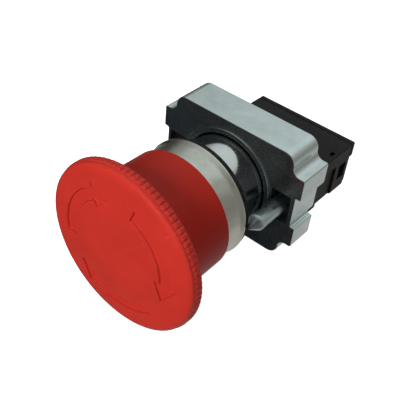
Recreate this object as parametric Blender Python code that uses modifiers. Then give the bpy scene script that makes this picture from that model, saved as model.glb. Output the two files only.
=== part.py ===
"""Emergency stop button for a 22 mm panel hole: red mushroom head, push to stop, twist to release.

The origin lies on the button's axis, in the plane of the panel's front face. +Y runs along the axis into
the panel, so the operator looks along +Y. +X runs along the long side of the fixing collar and +Z is up.
Every length below is in millimetres, and MM turns it into Blender's metres.
"""

import math

import bmesh
import bpy
from mathutils import Matrix, Vector

MM = 0.001
FIT = 0.1  # gap between pieces that are fixed to each other
RUN = 0.3  # gap between pieces that move past each other

# Motion
PUSH = 4.3
LATCH_OUT = 0.6

# Mushroom cap and skirt
CAP_R = 20.0
CAP_APEX = -26.8
CAP_DOME = 1.3
CAP_ROUND = 2.0
CAP_BACK = -21.6
RIB_COUNT = 93
RIB_DEPTH = 0.35
RIB_FRONT = -24.5
RIB_CHAMFER = 1.1
ARROW_COUNT = 3
ARROW_DEPTH = 0.5
ARROW_IN_R = 12.0
ARROW_OUT_R = 14.7
ARROW_BARB_IN_R = 10.7
ARROW_BARB_OUT_R = 16.1
ARROW_TAIL_DEG = 72.0
ARROW_TIP_DEG = -21.0
SKIRT_FRONT_R = 14.7
SKIRT_BACK_R = 14.45
SKIRT_BORE_R = 13.9
SKIRT_DISC = 1.6
SOCKET_DEPTH = 2.0

# Bezel, gasket and barrel
BEZEL_FRONT = -10.2
BEZEL_R = 13.55
BEZEL_REAR_R = 13.75
BEZEL_RIM_R = 14.3
GASKET = 1.1
GASKET_R = 14.1
BEZEL_BACK = -GASKET - FIT
FLARE_FRONT = BEZEL_BACK - 1.55
SKIRT_BACK = FLARE_FRONT - 0.15 - PUSH  # the skirt stops just short of the flare
BARREL_R = 11.0
BARREL_BACK = 19.6
BARREL_HEAD_R = 12.4
WEB_BACK = -6.4
WEB_BORE_R = 6.9
SEAL_R = 8.2
SEAL_FRONT = -9.9
SEAL_BACK = -8.4

# Latch
PIN_Y = 2.0
PIN_R = 1.1
PIN_IN = 4.0
PIN_OUT = 8.1
LATCH_BORE_R = 8.4
RAMP_BACK = 8.0
BARREL_BORE_R = LATCH_BORE_R + LATCH_OUT + 0.4  # the pins move out as they pass the ramp

# Spindle and the pieces on it
SPINDLE_FRONT = -20.6
SPINDLE_FLANGE = 1.2
SPINDLE_FLANGE_R = 10.2
SPINDLE_NECK_R = 6.6
SPINDLE_R = 7.9
SPINDLE_BACK = 12.0
CAVITY_R = 4.6
CAVITY_FRONT = -5.4
SHAFT_R = 2.7
SHAFT_BACK = 4.2
SHAFT_FLANGE_R = 5.5
SHAFT_FLANGE = 0.8
CLIP_FRONT = -5.2
CLIP_THICK = 0.6
PUSHER_R = 9.0
PUSHER_FRONT = 12.3
PUSHER_BACK = 14.0

# Fixing collar and clamp screws
COLLAR_FRONT = 10.05
COLLAR_BACK = 19.8
COLLAR_HALF_X = 20.0
COLLAR_HALF_Z = 14.5
COLLAR_MAIN_X = 16.7
EAR_Z = 9.7
CORNER_R = 2.7
FILLET_R = 1.7
EAR_CORNER_R = 0.5
BOSS_R = 12.4
BOSS_RISE = 0.85
COLLAR_BORE_R = 11.3
SLOT_Z = 4.12
CHANNEL_Z = 3.9
CHANNEL_IN_X = 12.6
CHANNEL_OUT_X = 17.75
CHANNEL_DEPTH = 4.0
SLOT_IN_X = 18.7
FOOT_IN_X = 17.2
FOOT_BACK = 17.4
FOOT_TOP_Z = -3.5
RING_SEAT_R = 12.2
RING_SEAT = 17.0
SCREW_X = 14.8
SCREW_R = 2.0
SCREW_TIP = -0.95
SCREW_CONE = 2.4
SCREW_BACK = 19.5
CLAW_X = 15.2
CLAW_Z = -9.6
CLAW_WIDTH = 3.4

# Lock ring
RING_FRONT = 17.2
RING_BACK = 18.4
RING_R = 12.0
RING_TEETH = 3
TOOTH_IN_R = 10.4
TOOTH_DEG = 24.0
TAB_DEG = 40.0
TAB_WIDTH_DEG = 18.0
TAB_OUT_R = 13.4
TAB_TURN_DEG = 30.0
TAB_BACK = 23.2
GROOVE_R = 10.1
GROOVE_FRONT = 16.9
GROOVE_BACK = 18.7
SLOT_DEG = 75.0

# Contact block
BLOCK_HALF_X = 14.7
BLOCK_TOP = 0.3
BLOCK_BOTTOM = -12.5
BLOCK_FOOT_BOTTOM = -13.6
BLOCK_FOOT_BACK = 30.5
BLOCK_FOOT_HALF_X = 14.4
POCKET_X = 14.15
POCKET_FRONT = 21.5
POCKET_BACK = 36.5
POCKET_TOP = -3.5
BLOCK_FRONT = 19.9
BLOCK_BACK = 44.1
BLOCK_WALL = 1.3
COVER_THICK = 1.4
COVER_FRONT = BLOCK_BACK - COVER_THICK
BLOCK_Z = -6.6
PLUNGER_R = 2.0
PLUNGER_FRONT = PUSHER_BACK + RUN
PLUNGER_SHOULDER = 27.7
PLUNGER_NECK_R = 1.1
PLUNGER_FLANGE = 33.0
PLUNGER_BACK = 34.4
TIP_X = 5.6
TIP_R = 1.3
TIP_THICK = 0.6
STRIP = 0.8
STRIP_WIDTH = 4.4
FIXED_TIP_BACK = 27.2
BRIDGE_FRONT = FIXED_TIP_BACK + RUN + TIP_THICK + FIT
BRIDGE_HALF_X = 7.4
STRIP_IN_X = 4.0
STRIP_OUT_X = 12.9
TERMINAL_X = 9.9
TERMINAL_FRONT = 37.2
TERMINAL_IN_X = 6.6
CLAMP_SIDE = 6.2
CLAMP_THICK = 1.0
TERMINAL_SCREW_R = 1.65
TERMINAL_HEAD_R = 2.9
ENTRY_Z = 4.6

# Springs: radius of the coil's centreline and of its wire
RETURN_COIL = (8.6, 0.5)
RELEASE_COIL = (3.7, 0.25)
BRIDGE_COIL = (1.75, 0.2)
PLUNGER_COIL = (2.3, 0.22)

FINE = 72
ROUND = 48
SMALL = 24
TINY = 16

RED = ((0.55, 0.012, 0.012), 0.42, 0.0)
RED_DARK = ((0.42, 0.01, 0.01), 0.42, 0.0)
CHROME = ((0.78, 0.77, 0.74), 0.1, 1.0)
ZINC = ((0.62, 0.67, 0.68), 0.22, 1.0)
STEEL = ((0.55, 0.56, 0.58), 0.25, 1.0)
SPRING_STEEL = ((0.45, 0.46, 0.48), 0.3, 1.0)
BRASS = ((0.72, 0.52, 0.2), 0.3, 1.0)
SILVER = ((0.86, 0.86, 0.85), 0.22, 1.0)
RUBBER = ((0.012, 0.012, 0.013), 0.75, 0.0)
BLACK = ((0.02, 0.018, 0.016), 0.5, 0.0)
WHITE = ((0.62, 0.61, 0.57), 0.45, 0.0)


def clear_scene():
    for obj in list(bpy.data.objects):
        bpy.data.objects.remove(obj, do_unlink=True)
    for collection in list(bpy.data.collections):
        bpy.data.collections.remove(collection)


def new_collection(name):
    collection = bpy.data.collections.new(name)
    bpy.context.scene.collection.children.link(collection)
    return collection


clear_scene()
PARTS = new_collection("emergency_stop_button")
CUTTERS = new_collection("cutters")


def material(name, look):
    colour, roughness, metallic = look
    made = bpy.data.materials.new(name)
    made.use_nodes = True
    shader = made.node_tree.nodes["Principled BSDF"]
    shader.inputs["Base Color"].default_value = (*colour, 1.0)
    shader.inputs["Roughness"].default_value = roughness
    shader.inputs["Metallic"].default_value = metallic
    return made


def linked(name, mesh, look=None):
    """A new object: a sub-part with its own material, or a hidden cutter where no look is given."""
    obj = bpy.data.objects.new(name, mesh)
    if look is None:
        CUTTERS.objects.link(obj)
        obj.hide_render = True
        obj.display_type = "WIRE"
    else:
        PARTS.objects.link(obj)
        mesh.materials.append(material(name, look))
    return obj


def mesh_of(bm, name):
    mesh = bpy.data.meshes.new(name)
    bm.to_mesh(mesh)
    bm.free()
    mesh.shade_smooth()
    mesh.set_sharp_from_angle(angle=math.radians(30))
    return mesh


def turned(name, profile, look=None, steps=ROUND):
    """A piece turned about the button's axis. The profile lists (radius, y) from the back to the front
    along its outer side, and closes on itself if it is a ring."""
    ring = all(radius > 0 for radius, _ in profile)
    mesh = bpy.data.meshes.new(name)
    points = [(radius * MM, 0, y * MM) for radius, y in profile]
    edges = [(i, i + 1) for i in range(len(points) - 1)]
    if ring:
        edges.append((len(points) - 1, 0))
    mesh.from_pydata(points, edges, [])
    obj = linked(name, mesh, look)
    obj.rotation_euler = (-math.pi / 2, 0, 0)
    screw = obj.modifiers.new("Turn", "SCREW")
    screw.axis = "Z"
    screw.steps = steps
    screw.render_steps = steps
    screw.use_merge_vertices = True
    screw.merge_threshold = 0.000001
    screw.use_smooth_shade = True
    return obj


def box(name, low, high, look=None):
    """A box between two corners."""
    bm = bmesh.new()
    bmesh.ops.create_cube(bm, size=1)
    low, high = Vector(low) * MM, Vector(high) * MM
    size, centre = high - low, (high + low) / 2
    bmesh.ops.scale(bm, vec=size, verts=bm.verts)
    bmesh.ops.translate(bm, vec=centre, verts=bm.verts)
    return linked(name, mesh_of(bm, name), look)


def rod(name, start, end, radius, look=None, segments=SMALL):
    """A cylinder from one point to another."""
    start, end = Vector(start) * MM, Vector(end) * MM
    along = end - start
    bm = bmesh.new()
    bmesh.ops.create_cone(
        bm,
        cap_ends=True,
        segments=segments,
        radius1=radius * MM,
        radius2=radius * MM,
        depth=along.length,
    )
    turn = along.to_track_quat("Z", "Y").to_matrix().to_4x4()
    bm.transform(Matrix.Translation((start + end) / 2) @ turn)
    return linked(name, mesh_of(bm, name), look)


def as_mesh(curve, name, look=None):
    """The curve made a mesh that can be cut, joined or used as a cutter, each of its caps one flat face."""
    bpy.context.view_layer.update()
    evaluated = curve.evaluated_get(bpy.context.evaluated_depsgraph_get())
    mesh = bpy.data.meshes.new_from_object(evaluated)
    mesh.name = name
    mesh.materials.clear()
    bm = bmesh.new()
    bm.from_mesh(mesh)
    bmesh.ops.remove_doubles(bm, verts=bm.verts, dist=0.000001)
    caps = [face for face in bm.faces if abs(face.normal.z) > 0.5 or face.calc_area() < 1e-12]
    bmesh.ops.delete(bm, geom=caps, context="FACES")
    bmesh.ops.holes_fill(bm, edges=[edge for edge in bm.edges if edge.is_boundary])
    bmesh.ops.recalc_face_normals(bm, faces=bm.faces)
    bm.to_mesh(mesh)
    bm.free()
    obj = linked(name, mesh, look)
    obj.matrix_world = curve.matrix_world
    bpy.data.objects.remove(curve)
    return obj


def plate(name, outline, front, back, look=None):
    """A flat outline of (x, z) points, extruded along the axis from its front y to its back y."""
    data = bpy.data.curves.new(name, "CURVE")
    data.dimensions = "2D"
    data.fill_mode = "BOTH"
    data.extrude = (back - front) / 2 * MM
    spline = data.splines.new("POLY")
    spline.points.add(len(outline) - 1)
    for point, (x, z) in zip(spline.points, outline):
        point.co = (x * MM, z * MM, 0, 1)
    spline.use_cyclic_u = True
    curve = bpy.data.objects.new(name + "_outline", data)
    CUTTERS.objects.link(curve)
    curve.rotation_euler = (math.pi / 2, 0, 0)
    curve.location = (0, (front + back) / 2 * MM, 0)
    return as_mesh(curve, name, look)


def wire(name, points, radius, look):
    """A round wire through the points."""
    data = bpy.data.curves.new(name, "CURVE")
    data.dimensions = "3D"
    data.bevel_depth = radius * MM
    data.bevel_resolution = 1
    data.use_fill_caps = True
    spline = data.splines.new("POLY")
    spline.points.add(len(points) - 1)
    for point, co in zip(spline.points, points):
        point.co = (*(Vector(co) * MM), 1)
    curve = bpy.data.objects.new(name, data)
    PARTS.objects.link(curve)
    data.materials.append(material(name, look))
    return curve


def coil_points(coil, front, back, turns, centre=(0, 0), per_turn=10):
    """The centreline of a compression spring with flat ends, between its front and back y."""
    radius, wire_radius = coil
    front, back = front + wire_radius, back - wire_radius
    steps = round(turns * per_turn)
    rest = 2 * math.pi / per_turn
    closed = 0.75  # turns at each end that lie flat
    points = []
    for i in range(steps + 1):
        turn = i / per_turn
        rise = min(max(turn - closed, 0) / (turns - 2 * closed), 1)
        lie = 2 * wire_radius * 1.1
        start = min(turn / closed, 1) * lie
        end = min(max(turn - turns + closed, 0) / closed, 1) * lie
        y = front + start + rise * (back - front - 2 * lie) + end
        points.append((centre[0] + radius * math.cos(i * rest), y, centre[1] + radius * math.sin(i * rest)))
    return points


def boolean(obj, tools, operation, solver):
    for tool in tools:
        modifier = obj.modifiers.new(tool.name, "BOOLEAN")
        modifier.object = tool
        modifier.operation = operation
        modifier.solver = solver
    return obj


def cut(obj, *tools, solver="EXACT"):
    return boolean(obj, tools, "DIFFERENCE", solver)


def join(obj, *tools, solver="EXACT"):
    return boolean(obj, tools, "UNION", solver)


def rounded(obj, width):
    """Small rounded edges."""
    modifier = obj.modifiers.new("Edges", "BEVEL")
    modifier.width = width * MM
    modifier.segments = 2
    return obj


def arc(centre, radius, start, end, steps):
    """Points on an arc, in degrees, from start to end."""
    for i in range(steps + 1):
        angle = math.radians(start + (end - start) * i / steps)
        yield centre[0] + radius * math.cos(angle), centre[1] + radius * math.sin(angle)


def pivot(name, location, children):
    """An empty on a joint's axis that carries the pieces which move there."""
    empty = bpy.data.objects.new(name, None)
    empty.empty_display_size = 0.01
    empty.location = Vector(location) * MM
    PARTS.objects.link(empty)
    bpy.context.view_layer.update()
    for child in children:
        child.parent = empty
        child.matrix_parent_inverse = empty.matrix_world.inverted()
    return empty


# The head


def face_y(radius):
    """Where the domed face lies at a radius."""
    return CAP_APEX + CAP_DOME * (radius / (CAP_R - CAP_ROUND)) ** 2


def cap_profile():
    """From the socket's rim over the grip band and the rounded edge to the middle of the face."""
    edge_r = CAP_R - RIB_DEPTH
    band_back = CAP_BACK - RIB_CHAMFER
    socket_r = SKIRT_FRONT_R + FIT
    socket_front = CAP_BACK - SOCKET_DEPTH
    profile = [(0, socket_front), (socket_r, socket_front), (socket_r, CAP_BACK)]
    profile += [(edge_r - RIB_CHAMFER, CAP_BACK), (edge_r, band_back)]
    shoulder = CAP_APEX + CAP_DOME
    for x, y in arc((0, 0), 1, 0, 80, 5):
        profile.append((edge_r - CAP_ROUND * (1 - x), shoulder + CAP_ROUND * (1 - y)))
    start = CAP_R - CAP_ROUND - 1.0
    rings = 3
    for i in range(rings + 1):
        radius = start * (1 - i / rings)
        profile.append((radius, face_y(radius)))
    return profile


def grip_outline():
    """A ring of small teeth around the rim."""
    points = []
    for i in range(RIB_COUNT):
        for share, radius in ((-0.3, -RIB_DEPTH), (-0.16, 0), (0.16, 0), (0.3, -RIB_DEPTH)):
            angle = 2 * math.pi * (i + share) / RIB_COUNT
            reach = CAP_R + radius
            points.append((reach * math.cos(angle), reach * math.sin(angle)))
    return points


def arrow_outline():
    """One clockwise arrow on the face, from its tail to its tip and back."""
    middle = (ARROW_IN_R + ARROW_OUT_R) / 2
    tip = math.radians(ARROW_TIP_DEG)
    points = list(arc((0, 0), ARROW_OUT_R, ARROW_TAIL_DEG, 0, 9))
    points.append((ARROW_BARB_OUT_R, 0))
    points.append((middle * math.cos(tip), middle * math.sin(tip)))
    points.append((ARROW_BARB_IN_R, 0))
    points += list(arc((0, 0), ARROW_IN_R, 0, ARROW_TAIL_DEG, 9))
    return points


def rotated(outline, degrees):
    turn = math.radians(degrees)
    c, s = math.cos(turn), math.sin(turn)
    return [(x * c - z * s, x * s + z * c) for x, z in outline]


def mushroom_cap():
    cap = turned("mushroom_cap", cap_profile(), RED, FINE)
    grip = plate("grip_teeth", grip_outline(), RIB_FRONT, CAP_BACK - RIB_CHAMFER)
    hollow = rod("grip_bore", (0, RIB_FRONT - 1, 0), (0, CAP_BACK, 0), CAP_R - 1.2, segments=FINE)
    cut(grip, hollow)
    join(cap, grip)
    for i in range(ARROW_COUNT):
        floor = face_y(ARROW_IN_R) + ARROW_DEPTH
        outline = rotated(arrow_outline(), i * 360 / ARROW_COUNT)
        cut(cap, plate(f"arrow_{i + 1}", outline, CAP_APEX - 1, floor))
    return cap


def cap_skirt():
    front = CAP_BACK - SOCKET_DEPTH + FIT
    disc_back = front + SKIRT_DISC
    profile = [
        (SKIRT_BORE_R, disc_back),
        (SKIRT_BORE_R, SKIRT_BACK),
        (SKIRT_BACK_R - 0.15, SKIRT_BACK),
        (SKIRT_BACK_R, SKIRT_BACK - 0.15),
        (SKIRT_FRONT_R, front),
        (1.9, front),
        (1.9, disc_back),
    ]
    skirt = turned("cap_skirt", profile, RED_DARK, FINE)
    return cut(skirt, rod("hub_screw_seat", (0, front - 1, 0), (0, front + 0.7, 0), 3.3))


def release_cam():
    """The shaft that turns with the head. Its flat end lies between the latch pins."""
    front = CAP_BACK - SOCKET_DEPTH + SKIRT_DISC + 2 * FIT
    groove_front, groove_back = CLIP_FRONT - FIT, CLIP_FRONT + CLIP_THICK + FIT
    profile = [
        (0, SHAFT_BACK),
        (SHAFT_R - 0.3, SHAFT_BACK),
        (SHAFT_R, SHAFT_BACK - 0.3),
        (SHAFT_R, groove_back),
        (SHAFT_R - 0.7, groove_back),
        (SHAFT_R - 0.7, groove_front),
        (SHAFT_R, groove_front),
        (SHAFT_R, front + SHAFT_FLANGE),
        (SHAFT_FLANGE_R, front + SHAFT_FLANGE),
        (SHAFT_FLANGE_R, front),
        (1.2, front),
        (1.2, front + 7),
        (0, front + 7),
    ]
    cam = turned("release_cam", profile, WHITE, SMALL)
    flats = []
    for side in (-1, 1):
        low, high = sorted((side * (SHAFT_R - 0.8), side * (SHAFT_R + 1)))
        flats.append(box(f"cam_flat_{side}", (-5, 0.4, low), (5, SHAFT_BACK + 1, high)))
    return cut(cam, *flats)


def hub_screw():
    front = CAP_BACK - SOCKET_DEPTH + FIT
    seat = front + 0.7
    profile = [
        (0, seat + 5.5),
        (1.0, seat + 5.5),
        (1.0, seat - FIT),
        (2.9, seat - FIT),
        (2.9, seat - 0.45),
        (2.5, seat - 0.6),
        (0, seat - 0.6),
    ]
    return turned("hub_screw", profile, STEEL, TINY)


def circlip():
    """A flat ring with a gap at the top, in the shaft's groove."""
    inner, outer = SHAFT_R - 0.7 + FIT, 3.9
    outline = list(arc((0, 0), outer, 120, 420, 16)) + list(arc((0, 0), inner, 420, 120, 16))
    return plate("retaining_circlip", outline, CLIP_FRONT, CLIP_FRONT + CLIP_THICK, SPRING_STEEL)


# The spindle and what rides on it


def spindle():
    flange_back = SPINDLE_FRONT + SPINDLE_FLANGE
    shoulder = WEB_BACK + RUN
    profile = [
        (CAVITY_R, CAVITY_FRONT),
        (CAVITY_R, SPINDLE_BACK),
        (SPINDLE_R - 0.4, SPINDLE_BACK),
        (SPINDLE_R, SPINDLE_BACK - 0.4),
        (SPINDLE_R, shoulder),
        (SPINDLE_NECK_R, shoulder),
        (SPINDLE_NECK_R, flange_back),
        (SPINDLE_FLANGE_R, flange_back),
        (SPINDLE_FLANGE_R, SPINDLE_FRONT),
        (SHAFT_R + RUN, SPINDLE_FRONT),
        (SHAFT_R + RUN, CAVITY_FRONT),
    ]
    body = turned("spindle", profile, WHITE)
    return cut(body, rod("pin_bore", (-12, PIN_Y, 0), (12, PIN_Y, 0), PIN_R + 0.2, segments=TINY))


def pusher_plate():
    profile = [
        (0, PUSHER_BACK),
        (PUSHER_R - 0.4, PUSHER_BACK),
        (PUSHER_R, PUSHER_BACK - 0.4),
        (PUSHER_R, PUSHER_FRONT),
        (CAVITY_R - FIT, PUSHER_FRONT),
        (CAVITY_R - FIT, PUSHER_FRONT - 1.8),
        (0, PUSHER_FRONT - 1.8),
    ]
    return turned("pusher_plate", profile, BLACK, ROUND)


def latch_pin(side, name):
    inner, outer = side * PIN_IN, side * PIN_OUT
    return rod(name, (inner, PIN_Y, 0), (outer, PIN_Y, 0), PIN_R, STEEL, segments=TINY)


def latch_spring():
    """A hairpin that lies behind the cam and presses the two pins apart."""
    reach, bend = 3.55, 5.4
    points = [(reach, PIN_Y - 0.9, 0), (reach, 3.6, 0)]
    points += [(x, y, 0) for x, y in arc((0, bend), reach, 0, 180, 12)]
    points += [(-reach, 3.6, 0), (-reach, PIN_Y - 0.9, 0)]
    return wire("latch_spring", points, 0.3, SPRING_STEEL)


def release_spring():
    """A torsion spring around the cam shaft, with a straight leg at each end."""
    radius = RELEASE_COIL[0]
    per_turn, turns = 10, 4
    front, pitch = -3.9, 0.75
    points = []
    for i in range(per_turn * turns + 1):
        angle = 2 * math.pi * i / per_turn
        points.append((radius * math.cos(angle), front + pitch * i / per_turn, radius * math.sin(angle)))
    points.insert(0, (radius, front - 0.1, -2.2))
    points.append((radius, front + pitch * turns + 0.1, 2.2))
    return wire("release_spring", points, RELEASE_COIL[1], SPRING_STEEL)


def return_spring():
    front = SPINDLE_FRONT + SPINDLE_FLANGE + FIT
    back = BEZEL_FRONT - 0.7 - FIT
    return wire("return_spring", coil_points(RETURN_COIL, front, back, 3.5), RETURN_COIL[1], SPRING_STEEL)


def spring_washer():
    back = BEZEL_FRONT - FIT
    profile = [(WEB_BORE_R, back), (9.9, back), (9.9, back - 0.6), (WEB_BORE_R, back - 0.6)]
    return turned("spring_washer", profile, STEEL, SMALL)


def barrel_seal():
    inner = SPINDLE_NECK_R + 0.15
    outer = SEAL_R - FIT
    middle = (SEAL_FRONT + SEAL_BACK - FIT) / 2
    back = SEAL_BACK - FIT
    profile = [
        (inner + 0.5, back),
        (outer, back),
        (outer, SEAL_FRONT),
        (inner + 0.5, SEAL_FRONT),
        (inner, middle),
    ]
    return turned("barrel_seal", profile, RUBBER, SMALL)


# The bezel, the barrel and the gasket


def bezel_ring():
    """A chromed ring around the barrel's head, flared where it meets the gasket."""
    bore = BARREL_HEAD_R + FIT
    profile = [
        (bore, BEZEL_BACK),
        (BEZEL_RIM_R - 0.25, BEZEL_BACK),
        (BEZEL_RIM_R, BEZEL_BACK - 0.25),
        (BEZEL_RIM_R, BEZEL_BACK - 0.45),
        (BEZEL_REAR_R, FLARE_FRONT),
        (BEZEL_R, BEZEL_FRONT + 0.4),
        (BEZEL_R - 0.4, BEZEL_FRONT),
        (bore, BEZEL_FRONT),
    ]
    return turned("bezel_ring", profile, CHROME, FINE)


def seat_gasket():
    profile = [
        (BARREL_R + FIT, 0),
        (GASKET_R - 0.2, 0),
        (GASKET_R, -0.2),
        (GASKET_R, -GASKET + 0.2),
        (GASKET_R - 0.2, -GASKET),
        (BARREL_R + FIT, -GASKET),
    ]
    return turned("seat_gasket", profile, RUBBER, ROUND)


def sector(name, inner, outer, middle_deg, width_deg, front, back, look=None):
    """A piece of a flat ring."""
    low, high = middle_deg - width_deg / 2, middle_deg + width_deg / 2
    outline = list(arc((0, 0), outer, low, high, 4)) + list(arc((0, 0), inner, high, low, 4))
    return plate(name, outline, front, back, look)


def operator_barrel():
    profile = [
        (BARREL_BORE_R, BARREL_BACK),
        (BARREL_R - 0.5, BARREL_BACK),
        (BARREL_R, BARREL_BACK - 0.5),
        (BARREL_R, GROOVE_BACK),
        (GROOVE_R, GROOVE_BACK),
        (GROOVE_R, GROOVE_FRONT),
        (BARREL_R, GROOVE_FRONT),
        (BARREL_R, BEZEL_BACK),
        (BARREL_HEAD_R, BEZEL_BACK),
        (BARREL_HEAD_R, BEZEL_FRONT + 0.3),
        (BARREL_HEAD_R - 0.3, BEZEL_FRONT),
        (SEAL_R, BEZEL_FRONT),
        (SEAL_R, SEAL_BACK),
        (WEB_BORE_R, SEAL_BACK),
        (WEB_BORE_R, WEB_BACK),
        (LATCH_BORE_R, WEB_BACK),
        (LATCH_BORE_R, PIN_Y),
        (BARREL_BORE_R, RAMP_BACK),
    ]
    barrel = turned("operator_barrel", profile, CHROME, ROUND)
    for i in range(RING_TEETH):
        angle = SLOT_DEG + i * 360 / RING_TEETH
        slot = sector(f"bayonet_slot_{i}", GROOVE_R, 12, angle, TOOTH_DEG + 4, 18, BARREL_BACK + 1)
        cut(barrel, slot)
    return barrel


# The fixing collar


def quarter_outline():
    """The collar's outline in its upper right quarter: ear, fillet, rounded corner, top."""
    points = [(SLOT_IN_X, SLOT_Z), (COLLAR_HALF_X, SLOT_Z)]
    points += list(arc((COLLAR_HALF_X - EAR_CORNER_R, EAR_Z - EAR_CORNER_R), EAR_CORNER_R, 0, 90, 3))
    points += list(arc((COLLAR_MAIN_X + FILLET_R, EAR_Z + FILLET_R), FILLET_R, 270, 180, 6))
    corner = (COLLAR_MAIN_X - CORNER_R, COLLAR_HALF_Z - CORNER_R)
    points += list(arc(corner, CORNER_R, 0, 90, 7))
    return points


def collar_outline():
    """All round, with an open slot at each end."""
    quarter = quarter_outline()
    upper = quarter + [(-x, z) for x, z in reversed(quarter)]
    return upper + [(-x, -z) for x, z in upper]


def fixing_collar():
    """Long rows of its outline's corners lie in line, which only the MANIFOLD solver cuts cleanly."""
    collar = plate("fixing_collar", collar_outline(), COLLAR_FRONT, COLLAR_BACK, ZINC)
    boss_front = COLLAR_FRONT - BOSS_RISE
    boss = rod("collar_boss", (0, boss_front, 0), (0, 13, 0), BOSS_R, segments=ROUND)
    bore = rod("collar_bore", (0, boss_front - 1, 0), (0, 30, 0), COLLAR_BORE_R, segments=ROUND)
    seat = rod("ring_seat", (0, RING_SEAT, 0), (0, 30, 0), RING_SEAT_R, segments=ROUND)
    sweep = sector("tab_pocket", 11.5, TAB_OUT_R + 0.3, TAB_DEG + TAB_TURN_DEG / 2,
                   TAB_TURN_DEG + TAB_WIDTH_DEG + 6, RING_SEAT + 0.3, 30)
    cutters = [bore, seat, sweep]
    channel_back = COLLAR_FRONT + CHANNEL_DEPTH
    for side, word in ((1, "right"), (-1, "left")):
        low, high = sorted((side * CHANNEL_IN_X, side * CHANNEL_OUT_X))
        low, high = (low, boss_front - 1, -CHANNEL_Z), (high, channel_back, CHANNEL_Z)
        cutters.append(box(f"channel_{word}", low, high))
        x = side * SCREW_X
        cutters.append(rod(f"thread_{word}", (x, 12, 0), (x, 21, 0), SCREW_R + FIT))
        claw_x = side * CLAW_X
        half = CLAW_WIDTH / 2 + 0.2
        low, high = (claw_x - 1.2, 16.4, CLAW_Z - half), (claw_x + 1.2, 21, CLAW_Z + half)
        cutters.append(box(f"claw_pocket_{word}", low, high))
        low, high = sorted((side * FOOT_IN_X, side * (COLLAR_HALF_X + 2)))
        low, high = (low, FOOT_BACK, -COLLAR_HALF_Z - 1), (high, COLLAR_BACK + 1, FOOT_TOP_Z)
        cutters.append(box(f"foot_step_{word}", low, high))
    join(collar, boss, solver="MANIFOLD")
    return cut(collar, *cutters, solver="MANIFOLD")


def clamp_screw(side, word):
    """A cone-pointed screw that presses on the back of the panel. Its slotted end faces the back."""
    x = side * SCREW_X
    profile = [
        (0, SCREW_BACK),
        (SCREW_R - 0.3, SCREW_BACK),
        (SCREW_R, SCREW_BACK - 0.3),
        (SCREW_R, SCREW_TIP + SCREW_CONE),
        (0.25, SCREW_TIP),
        (0, SCREW_TIP),
    ]
    screw = turned(f"clamp_screw_{word}", profile, STEEL, SMALL)
    screw.location = (x * MM, 0, 0)
    slot = box(f"clamp_slot_{word}", (x - 5, SCREW_BACK - 0.7, -0.4), (x + 5, SCREW_BACK + 1, 0.4))
    return cut(screw, slot)


def lock_ring():
    """A flat ring with three inward teeth in the barrel's groove and a tab to turn it by. A turn of the
    tab brings the teeth in line with the barrel's slots."""
    rim = [(11.35, RING_BACK), (RING_R, RING_BACK), (RING_R, RING_FRONT), (11.35, RING_FRONT)]
    ring = turned("lock_ring", rim, STEEL, ROUND)
    for i in range(RING_TEETH):
        angle = SLOT_DEG - TAB_TURN_DEG + i * 360 / RING_TEETH
        front, back = RING_FRONT + 0.1, RING_BACK - 0.1
        join(ring, sector(f"tooth_{i}", TOOTH_IN_R, 11.7, angle, TOOTH_DEG, front, back))
    tab = sector("ring_tab", 11.6, TAB_OUT_R, TAB_DEG, TAB_WIDTH_DEG, RING_FRONT + 0.4, TAB_BACK)
    return join(ring, tab)


# The contact block


def block_housing():
    """The case, with a deeper foot at its front and a shallow pocket in the front part of each end."""
    low = (-BLOCK_HALF_X, BLOCK_FRONT, BLOCK_BOTTOM)
    housing = box("block_housing", low, (BLOCK_HALF_X, COVER_FRONT - FIT, BLOCK_TOP), BLACK)
    rounded(housing, 0.3)
    low = (-BLOCK_FOOT_HALF_X, BLOCK_FRONT + 0.4, BLOCK_FOOT_BOTTOM)
    join(housing, box("block_foot", low, (BLOCK_FOOT_HALF_X, BLOCK_FOOT_BACK, BLOCK_BOTTOM + 0.6)))
    for side, word in ((1, "right"), (-1, "left")):
        low, high = sorted((side * POCKET_X, side * (BLOCK_HALF_X + 1)))
        low, high = (low, POCKET_FRONT, BLOCK_FOOT_BOTTOM - 1), (high, POCKET_BACK, POCKET_TOP)
        cut(housing, box(f"end_pocket_{word}", low, high))
    wall = BLOCK_WALL
    low = (-BLOCK_HALF_X + wall, BLOCK_FRONT + wall, BLOCK_BOTTOM + wall)
    cavity = box("block_cavity", low, (BLOCK_HALF_X - wall, 50, BLOCK_TOP - wall))
    hole = rod("plunger_hole", (0, 18, BLOCK_Z), (0, 23, BLOCK_Z), PLUNGER_R + 0.25)
    cut(housing, cavity, hole)
    half = CLAW_WIDTH / 2
    for side, word in ((1, "right"), (-1, "left")):
        x = side * CLAW_X - side * 0.3
        low, high = (x - 0.7, 17.0, CLAW_Z - half), (x + 0.7, BLOCK_FRONT + 0.5, CLAW_Z + half)
        join(housing, box(f"claw_{word}", low, high))
        entry_x = side * BLOCK_HALF_X
        low = (entry_x - 2, TERMINAL_FRONT + 1.0, BLOCK_Z - ENTRY_Z / 2)
        high = (entry_x + 2, TERMINAL_FRONT + 4.2, BLOCK_Z + ENTRY_Z / 2)
        cut(housing, box(f"wire_entry_{word}", low, high))
    return housing


def block_cover():
    low = (-BLOCK_HALF_X, COVER_FRONT, BLOCK_BOTTOM)
    cover = rounded(box("block_cover", low, (BLOCK_HALF_X, BLOCK_BACK, BLOCK_TOP), BLACK), 0.3)
    for side, word in ((1, "right"), (-1, "left")):
        x = side * TERMINAL_X
        hole = rod(f"screw_access_{word}", (x, 40, BLOCK_Z), (x, 46, BLOCK_Z), TERMINAL_HEAD_R + 0.3)
        cut(cover, hole)
    return cover


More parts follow.
